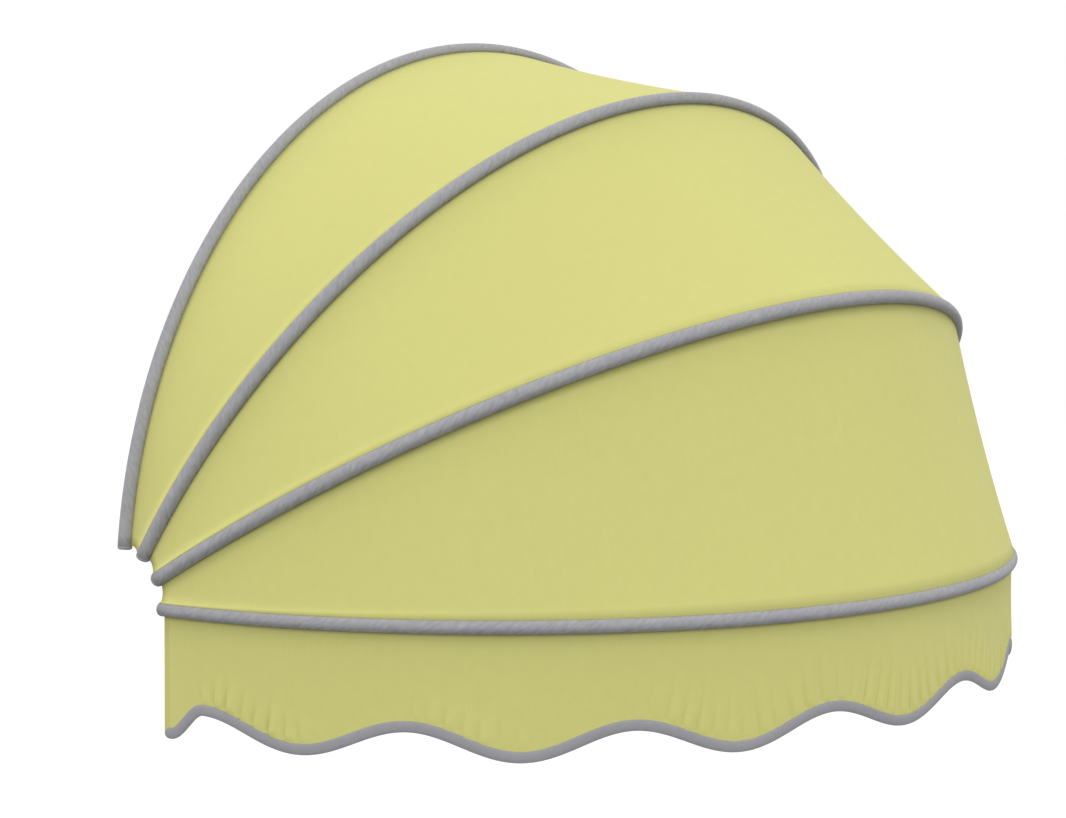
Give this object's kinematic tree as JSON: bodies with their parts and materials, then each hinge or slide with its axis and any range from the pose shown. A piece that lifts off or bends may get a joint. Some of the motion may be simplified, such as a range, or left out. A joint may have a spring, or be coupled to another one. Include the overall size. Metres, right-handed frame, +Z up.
{
  "type": "dome window awning",
  "caption": "Quarter-sphere folding window awning: half-round tube bows fan out from wall brackets, with stretched cloth and a scalloped valance.",
  "frame": {"origin": "middle of the back face of the top wall lug, on the awning's centre line and in the plane of the wall", "axes": "+X across the awning to the right as seen from outside, +Y into the wall, +Z up"},
  "size_m": [2.0144, 1.0254, 1.2199],
  "materials": {
    "tube_grey_paint": "satin grey paint on bent aluminium tube",
    "cast_grey_paint": "matte grey paint on cast aluminium",
    "cap_grey_plastic": "matte grey moulded plastic",
    "zinc_plated_steel": "bright zinc plate",
    "black_nylon": "matte black nylon",
    "awning_cloth": "pale yellow-green woven acrylic awning cloth",
    "grey_braid": "grey woven braid folded over the hem"
  },
  "bodies": {
    "wall_frame": {"wall_bow": "tube_grey_paint", "wall_bow_cap_left": "cap_grey_plastic", "hinge_bracket_left": "cast_grey_paint", "pivot_bolt_left": "zinc_plated_steel", "pivot_nut_left": "zinc_plated_steel", "pivot_washer_1_left": "black_nylon", "pivot_washer_2_left": "black_nylon", "pivot_washer_3_left": "black_nylon", "wall_bow_screw_left_near": "zinc_plated_steel", "wall_bow_screw_left_far": "zinc_plated_steel", "wall_bow_cap_right": "cap_grey_plastic", "hinge_bracket_right": "cast_grey_paint", "pivot_bolt_right": "zinc_plated_steel", "pivot_nut_right": "zinc_plated_steel", "pivot_washer_1_right": "black_nylon", "pivot_washer_2_right": "black_nylon", "pivot_washer_3_right": "black_nylon", "wall_bow_screw_right_near": "zinc_plated_steel", "wall_bow_screw_right_far": "zinc_plated_steel", "wall_lug_top": "cast_grey_paint", "wall_lug_rivet_top": "zinc_plated_steel", "wall_lug_left": "cast_grey_paint", "wall_lug_rivet_left": "zinc_plated_steel", "wall_lug_right": "cast_grey_paint", "wall_lug_rivet_right": "zinc_plated_steel"},
    "upper_fan": {"upper_bow": "tube_grey_paint", "upper_bow_cap_left": "cap_grey_plastic", "upper_arm_left": "cast_grey_paint", "upper_bow_screw_left_near": "zinc_plated_steel", "upper_bow_screw_left_far": "zinc_plated_steel", "upper_bow_cap_right": "cap_grey_plastic", "upper_arm_right": "cast_grey_paint", "upper_bow_screw_right_near": "zinc_plated_steel", "upper_bow_screw_right_far": "zinc_plated_steel", "rear_panel": "awning_cloth"},
    "lower_fan": {"lower_bow": "tube_grey_paint", "lower_bow_cap_left": "cap_grey_plastic", "lower_arm_left": "cast_grey_paint", "lower_bow_screw_left_near": "zinc_plated_steel", "lower_bow_screw_left_far": "zinc_plated_steel", "lower_bow_cap_right": "cap_grey_plastic", "lower_arm_right": "cast_grey_paint", "lower_bow_screw_right_near": "zinc_plated_steel", "lower_bow_screw_right_far": "zinc_plated_steel", "middle_panel": "awning_cloth"},
    "front_fan": {"front_bow": "tube_grey_paint", "front_bow_cap_left": "cap_grey_plastic", "front_arm_left": "cast_grey_paint", "front_bow_screw_left_near": "zinc_plated_steel", "front_bow_screw_left_far": "zinc_plated_steel", "front_bow_cap_right": "cap_grey_plastic", "front_arm_right": "cast_grey_paint", "front_bow_screw_right_near": "zinc_plated_steel", "front_bow_screw_right_far": "zinc_plated_steel", "front_panel": "awning_cloth", "valance": "awning_cloth", "valance_braid": "grey_braid"}
  },
  "joints": [
    {"name": "upper_hinge", "type": "hinge", "parent": "wall_frame", "child": "upper_fan", "pos_m": [0, -0.094, -0.8886], "axis": [-1, 0, 0], "range_deg": [0, 30], "deforming": ["rear_panel"]},
    {"name": "lower_hinge", "type": "hinge", "parent": "upper_fan", "child": "lower_fan", "pos_m": [0, -0.094, -0.8886], "axis": [-1, 0, 0], "range_deg": [0, 30], "deforming": ["middle_panel"]},
    {"name": "front_hinge", "type": "hinge", "parent": "lower_fan", "child": "front_fan", "pos_m": [0, -0.094, -0.8886], "axis": [-1, 0, 0], "range_deg": [0, 30], "deforming": ["front_panel"]}
  ]
}
